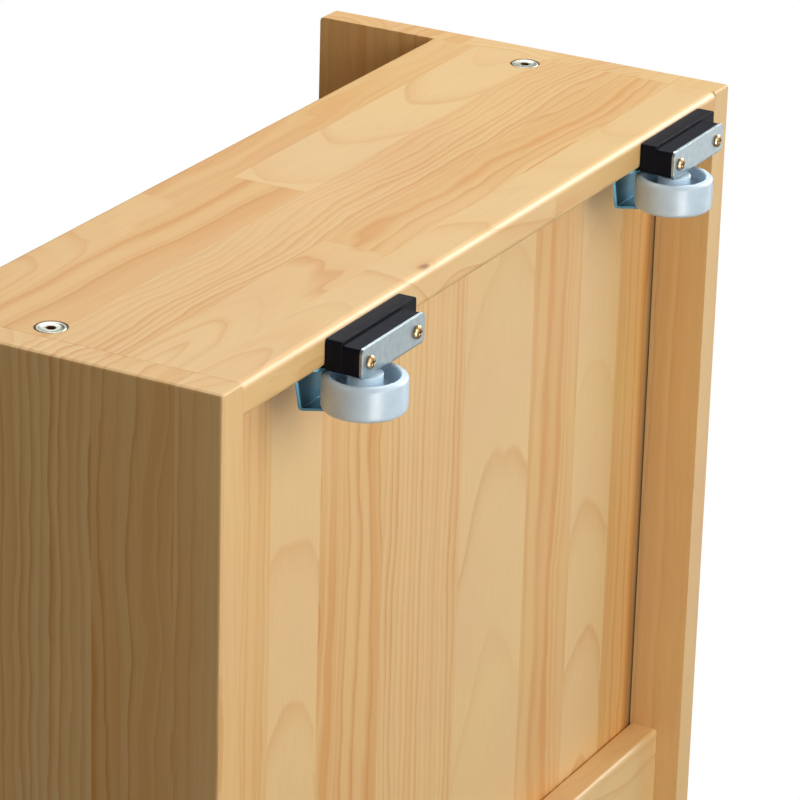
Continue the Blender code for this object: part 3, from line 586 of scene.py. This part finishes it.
class CART_OT_boards(bpy.types.Operator):
    """The two end boards and the two side boards"""

    bl_idname = "cart.boards"
    bl_label = "Boards"

    def execute(self, context):
        side, end = (SIDE_HIGH.z - SIDE_LOW.z), (FRONT_HIGH.z - FRONT_LOW.z)
        middle_y = HALF_LENGTH - BOARD / 2
        middle_x = HALF_WIDTH - BOARD / 2
        knot = (SIDE_LOW.y + 0.179, 0.004)  # along the board, and up from its lower edge
        others = usual_staves(4, side * 1000)
        looks = {
            "front_board": pine("front_board_pine", "XZY", LOWER_EDGE, -middle_y, end, FRONT),
            "back_board": pine("back_board_pine", "XZY", LOWER_EDGE, middle_y, end, BACK),
            "right_side_board": pine("right_board_pine", "YZX", LOWER_EDGE, middle_x, side, RIGHT_SIDE,
                                     knot, self.bores("right")),
            "left_side_board": pine("left_board_pine", "YZX", LOWER_EDGE, -middle_x, side, others,
                                    bores=self.bores("left")),
        }
        for node, finish in looks.items():
            # The side boards reach right up to the end boards
            reach = 0.00025 if "side" in node else 0.0
            tidy_copy(node, finish, edge=0.00015, reach=reach)
        return {"FINISHED"}

    def bores(self, side):
        """The places and radii of a side board's cams."""
        boxes = [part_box(f"{castor}_cam") for castor in CASTORS if castor.endswith(side)]
        return [((low.y + high.y) / 2, (low.z + high.z) / 2 - LOWER_EDGE, (high.z - low.z) / 2)
                for low, high in boxes]


class CART_OT_floor(bpy.types.Operator):
    """The two halves of the floor and the batten under their seam"""

    bl_idname = "cart.floor"
    bl_label = "Floor"

    def execute(self, context):
        middle = (FLOOR_LOW.z + FLOOR_HIGH.z) / 2
        length = FLOOR_HIGH.y - FLOOR_LOW.y
        other = usual_staves(17, length * 1000)
        for side, staves in (("right", FLOOR), ("left", other)):
            finish = pine(f"{side}_floor_pine", "XYZ", FLOOR_LOW.y, middle, length, staves,
                          let_in=FLOOR_HIGH.y - HALF_LENGTH + BOARD)
            tidy_copy(f"{side}_floor_panel", finish)
        low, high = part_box("floor_batten")
        width = high.x - low.x
        staves = usual_staves(3, width * 1000, 1)
        finish = pine("batten_pine", "YXZ", low.x, (low.z + high.z) / 2, width, staves)
        tidy_copy("floor_batten", finish)
        return {"FINISHED"}


class CART_OT_joints(bpy.types.Operator):
    """The cam bolts, dowels and batten screws"""

    bl_idname = "cart.joints"
    bl_label = "Joint fittings"

    def execute(self, context):
        look = context.scene.cart_fittings
        # Steel, zinc plated and clear passivated: cool silver
        zinc = plated("zinc_plated_bolts", look.zinc, linear("#98A4AA"), 0.34, 0.12)
        wood = beech()
        for node in NODES:
            if node.endswith("_cam_bolt") or node.startswith("batten_screw"):
                tidy_copy(node, zinc)
            elif node.endswith("_dowel"):
                tidy_copy(node, wood)
        return {"FINISHED"}


SOCKET, SOCKET_TOP, SOCKET_DEPTH = 0.0030, 0.0004, 0.0045  # radius, how far it is sunk, its depth
CAM_SIDES = 72


class CART_OT_cams(bpy.types.Operator):
    """The cams in the side boards, each with a flat rim, a shallow dish and a hex socket"""

    bl_idname = "cart.cams"
    bl_label = "Cams"

    def execute(self, context):
        look = context.scene.cart_fittings
        # Die-cast zinc, barrelled and nickel plated: bright, warm silver with a soft sheen
        nickel = plated("nickel_plated_zinc", look.cam, linear("#A4A79B"), 0.42, 0.06)
        # Painted shade: the socket's walls and floor are a dull, dark brown-grey that stands in for the
        # shade inside the hole
        socket_shade = plated("socket_shade_zinc", linear("#8C6A48"), linear("#684C33"), 0.6, 0.1)
        for corner in CASTORS:
            node = f"{corner}_cam"
            low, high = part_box(node)
            side = 1 if low.x > 0 else -1
            radius = (high.z - low.z) / 2 - 0.0001
            depth = high.x - low.x
            rim, dish = radius - 0.0014, radius - 0.0026
            # From the socket's edge over the dish and the rim to the wall
            face = [(SOCKET, -SOCKET_TOP), (dish, -0.0006), (rim - 0.0003, -0.0002), (rim, 0.0)]
            face += arc((radius - 0.0005, -0.0005), 0.0005, 90, 0, 4)
            bm = spun([*face, (radius, -depth), (SOCKET, -depth)], CAM_SIDES)
            self.socket(bm)
            turn = Matrix.Rotation(side * math.pi / 2, 4, "Y")
            face_x = high.x if side > 0 else low.x
            at = Matrix.Translation((face_x, (low.y + high.y) / 2, (low.z + high.z) / 2))
            bmesh.ops.transform(bm, verts=bm.verts, matrix=at @ turn)
            body = NODES[node]["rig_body"]
            made = settle(bm, f"{node}_finish", nickel, body, [node])
            made.data.materials.append(socket_shade)
        return {"FINISHED"}

    def socket(self, bm):
        """A hex socket in the middle of the turned ring, its walls and floor of the second, painted-shade
        material.
        """
        top = Matrix.Translation((0, 0, -SOCKET_TOP))
        rings = [bmesh.ops.create_circle(bm, radius=size, segments=count, matrix=top)["verts"]
                 for size, count in ((SOCKET, CAM_SIDES), (SOCKET * 0.94, 6))]
        outline = [edge for ring in rings for edge in self.outline(ring)]
        bmesh.ops.bridge_loops(bm, edges=outline)
        made = bmesh.ops.extrude_edge_only(bm, edges=self.outline(rings[1]))["geom"]
        deep = [item for item in made if isinstance(item, bmesh.types.BMVert)]
        bmesh.ops.translate(bm, verts=deep, vec=(0, 0, -SOCKET_DEPTH))
        floor = bmesh.ops.contextual_create(bm, geom=deep)["faces"]
        walls = [item for item in made if isinstance(item, bmesh.types.BMFace)]
        for face in walls + floor:
            face.material_index = 1
        bmesh.ops.remove_doubles(bm, verts=bm.verts, dist=1e-6)
        bmesh.ops.recalc_face_normals(bm, faces=bm.faces)

    def outline(self, ring):
        """The edges between a ring's vertices."""
        edges = {edge for vert in ring for edge in vert.link_edges}
        return [edge for edge in edges if edge.verts[0] in ring and edge.verts[1] in ring]


class CART_OT_risers(bpy.types.Operator):
    """The moulded risers that hold the castors off the boards"""

    bl_idname = "cart.risers"
    bl_label = "Castor risers"

    def execute(self, context):
        finish = moulded_black()
        for castor in CASTORS:
            for part in ("riser_base", "riser_cap"):
                tidy_copy(f"{castor}_{part}", finish, edge=0.0004)
        return {"FINISHED"}


class CART_OT_brackets(bpy.types.Operator):
    """The bent steel brackets and their axles"""

    bl_idname = "cart.brackets"
    bl_label = "Castor brackets"

    def execute(self, context):
        look = context.scene.cart_fittings
        # Cold-rolled strip, zinc plated bright: cool silver with rolling marks along it
        # From just below the boards' lower edge up, the strip is painted a darker blue as painted shade on
        # the webs
        finish = plated("zinc_plated_strip", look.zinc, linear("#A4B4BC"), 0.42, 0.08,
                        (4.0, 90.0, 90.0), LOWER_EDGE)
        for castor in CASTORS:
            for part in ("bracket", "axle"):
                tidy_copy(f"{castor}_{part}", finish, edge=0.0002)
        return {"FINISHED"}


class CART_OT_wheels(bpy.types.Operator):
    """The wheels, cupped on both faces"""

    bl_idname = "cart.wheels"
    bl_label = "Wheels"

    def execute(self, context):
        finish = moulded_grey()
        rounding = context.scene.cart_fittings.rim_round
        for castor in CASTORS:
            low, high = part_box(f"{castor}_wheel")
            hub = (high.x - low.x) / 2
            radius = (high.z - low.z) / 2
            half = hub - 0.0004
            # Inner radius of the rim, radii of the boss and its bore, half the web's thickness
            cup, boss, bore, web = radius - 0.0042, 0.0088, 0.0031, 0.0017
            face = [(bore, hub - 0.0003), (bore + 0.0003, hub)]
            face += arc((boss - 0.0005, hub - 0.0005), 0.0005, 90, 0, 4)
            face += arc((boss + 0.0016, web + 0.0016), 0.0016, 180, 270, 6)
            face += arc((cup - 0.0022, web + 0.0022), 0.0022, 270, 360, 7)
            face += arc((cup + 0.0012, half - 0.0012), 0.0012, 180, 90, 5)
            face += arc((radius - rounding, half - rounding), rounding, 90, 4, 8)
            face += [(radius, 0.0)]
            back = [(r, -h) for r, h in reversed(face[:-1])]
            bm = spun(face + back, 96)
            turn = Matrix.Rotation(math.pi / 2, 4, "Y")
            at = Matrix.Translation((low + high) / 2)
            bmesh.ops.transform(bm, verts=bm.verts, matrix=at @ turn)
            node = f"{castor}_wheel"
            settle(bm, f"{node}_finish", finish, node, [node])
        return {"FINISHED"}


class CART_OT_screws(bpy.types.Operator):
    """The pan-head screws that hold the castors"""

    bl_idname = "cart.screws"
    bl_label = "Castor screws"

    def execute(self, context):
        look = context.scene.cart_fittings
        # Steel, zinc plated and yellow passivated: gold with faint pink and green
        finish = plated("yellow_passivated_zinc", look.screw, linear("#A5875F"), 0.36, 0.10)
        for castor in CASTORS:
            for number in (1, 2):
                tidy_copy(f"{castor}_screw_{number}", finish)
        return {"FINISHED"}


def lamp(name, at, target, width, height, power, glint=False):
    """A soft light panel that the camera doesn't see. A glint shows only as a reflection."""
    data = bpy.data.lights.new(name, "AREA")
    data.shape = "RECTANGLE"
    data.size, data.size_y = width, height
    data.energy = power
    made = bpy.data.objects.new(name, data)
    bpy.context.scene.collection.objects.link(made)
    made.location = at
    aim = Vector(target) - Vector(at)
    made.rotation_euler = aim.to_track_quat("-Z", "Y").to_euler()
    made.visible_camera = False
    made.visible_diffuse = not glint


class CART_OT_stage(bpy.types.Operator):
    """The floor, the pale room, the soft lights and the camera"""

    bl_idname = "cart.stage"
    bl_label = "Stage"

    def execute(self, context):
        scene = context.scene
        look = scene.cart_stage
        scene.view_settings.view_transform = "Standard"
        self.lay_floor(look)
        self.fill_room(scene, look)
        lamp("side_light", (2.6, 1.3, 0.9), (0.3, 0, 0.1), 1.5, 1.5, 54)
        lamp("low_light", (1.0, -0.45, -1.6), (0.2, 0, 0.1), 1.2, 1.2, 20)
        lamp("low_back_light", (0.4, 2.3, -1.05), (0.2, 0.1, 0.05), 3.0, 0.9, 12)
        lamp("left_light", (-2.6, 1.0, 1.3), (0, 0, 0.1), 1.6, 1.6, 20)
        lamp("top_light", (-0.8, 0.9, 2.6), (0, 0, 0.1), 1.6, 1.6, 16)
        # Panels that show only as glints: along the side board's and the front board's lower edges
        lamp("side_glint", (1.5, 2.1, -0.95), (0.42, 0, 0.04), 1.5, 1.5, 85, glint=True)
        lamp("front_glint", (-0.5, -1.35, -1.9), (0.3, -0.27, 0.04), 1.0, 1.0, 50, glint=True)
        self.place_camera(scene, look)
        return {"FINISHED"}

    def lay_floor(self, look):
        """A pale floor that can be seen through from below."""
        bm = bmesh.new()
        bmesh.ops.create_grid(bm, x_segments=1, y_segments=1, size=12)
        mesh = bpy.data.meshes.new("floor")
        bm.to_mesh(mesh)
        bm.free()
        ground = bpy.data.objects.new("floor", mesh)
        bpy.context.scene.collection.objects.link(ground)
        made, tree, shader = new_material("pale_floor", Roughness=0.8, Emission_Strength=0.55)
        shader.inputs["Base Color"].default_value = rgba([c * 0.5 for c in look.ground])
        shader.inputs["Emission Color"].default_value = rgba(look.ground)
        back = add(tree, "ShaderNodeNewGeometry").outputs["Backfacing"]
        clear = add(tree, "ShaderNodeBsdfTransparent")
        mixed = add(tree, "ShaderNodeMixShader", {0: back, 1: shader.outputs[0], 2: clear.outputs[0]})
        tree.links.new(mixed.outputs[0], tree.nodes["Material Output"].inputs[0])
        mesh.materials.append(made)
        ground.visible_shadow = False
        ground.visible_diffuse = False
        ground.visible_glossy = False

    def fill_room(self, scene, look):
        """A pale room: bright where it is seen, dimmer as a light."""
        world = bpy.data.worlds.new("pale_room")
        scene.world = world
        world.use_nodes = True
        tree = world.node_tree
        seen = add(tree, "ShaderNodeLightPath").outputs["Is Camera Ray"]
        # Its light is brightest from below and fades towards the ceiling
        horizon, fall, most, least = 0.27, -0.45, 0.3, 0.05
        direction = add(tree, "ShaderNodeTexCoord").outputs["Generated"]
        up = add(tree, "ShaderNodeSeparateXYZ", {0: direction}).outputs["Z"]
        dim = math_of(tree, "MULTIPLY_ADD", up, fall, horizon)
        dim = math_of(tree, "MAXIMUM", math_of(tree, "MINIMUM", dim, most), least)
        walls = blend(tree, 1.0, rgba(look.walls), dim, "MULTIPLY")
        light = blend(tree, seen, walls, rgba(look.room))
        tree.links.new(light, tree.nodes["Background"].inputs[0])

    def place_camera(self, scene, look):
        """The camera looks up at the box's underside from in front and to the right."""
        data = bpy.data.cameras.new("camera")
        data.lens = look.lens
        data.sensor_width = 36
        data.clip_end = 30
        camera = bpy.data.objects.new("camera", data)
        scene.collection.objects.link(camera)
        right = Vector((0.02609, 0.48390, -0.87474))
        up = Vector((0.92518, 0.31974, 0.20447))
        ahead = Vector((-0.37863, 0.81462, 0.43935))
        at = Vector((HALF_WIDTH + 0.7383, -HALF_LENGTH - 1.5489, LOWER_EDGE - 0.9264))
        camera.matrix_world = Matrix.Translation(at) @ Matrix((right, up, -ahead)).transposed().to_4x4()
        scene.camera = camera


PIECES = (
    CART_OT_boards,
    CART_OT_floor,
    CART_OT_joints,
    CART_OT_cams,
    CART_OT_risers,
    CART_OT_brackets,
    CART_OT_wheels,
    CART_OT_screws,
    CART_OT_stage,
)


class CART_PT_panel(bpy.types.Panel):
    """The sizes and colours, and a button for each group of pieces"""

    bl_idname = "CART_PT_panel"
    bl_label = "Rolling box"
    bl_space_type = "VIEW_3D"
    bl_region_type = "UI"
    bl_category = "Rolling box"

    def draw(self, context):
        layout = self.layout
        for owner in (context.scene.cart_wood, context.scene.cart_fittings, context.scene.cart_stage):
            column = layout.column(align=True)
            for name in owner.bl_rna.properties.keys():
                if name not in ("rna_type", "name"):
                    column.prop(owner, name)
        for piece in PIECES:
            layout.operator(piece.bl_idname)


GROUPS = {"cart_wood": CART_PG_wood, "cart_fittings": CART_PG_fittings, "cart_stage": CART_PG_stage}


def register():
    for kind in (*GROUPS.values(), *PIECES, CART_PT_panel):
        bpy.utils.register_class(kind)
    for name, kind in GROUPS.items():
        setattr(bpy.types.Scene, name, PointerProperty(type=kind))


def unregister():
    for name in GROUPS:
        delattr(bpy.types.Scene, name)
    for kind in reversed((*GROUPS.values(), *PIECES, CART_PT_panel)):
        bpy.utils.unregister_class(kind)


def main():
    register()
    bpy.ops.cart.boards()
    bpy.ops.cart.floor()
    bpy.ops.cart.joints()
    bpy.ops.cart.cams()
    bpy.ops.cart.risers()
    bpy.ops.cart.brackets()
    bpy.ops.cart.wheels()
    bpy.ops.cart.screws()
    bpy.ops.cart.stage()


if __name__ == "__main__":
    main()
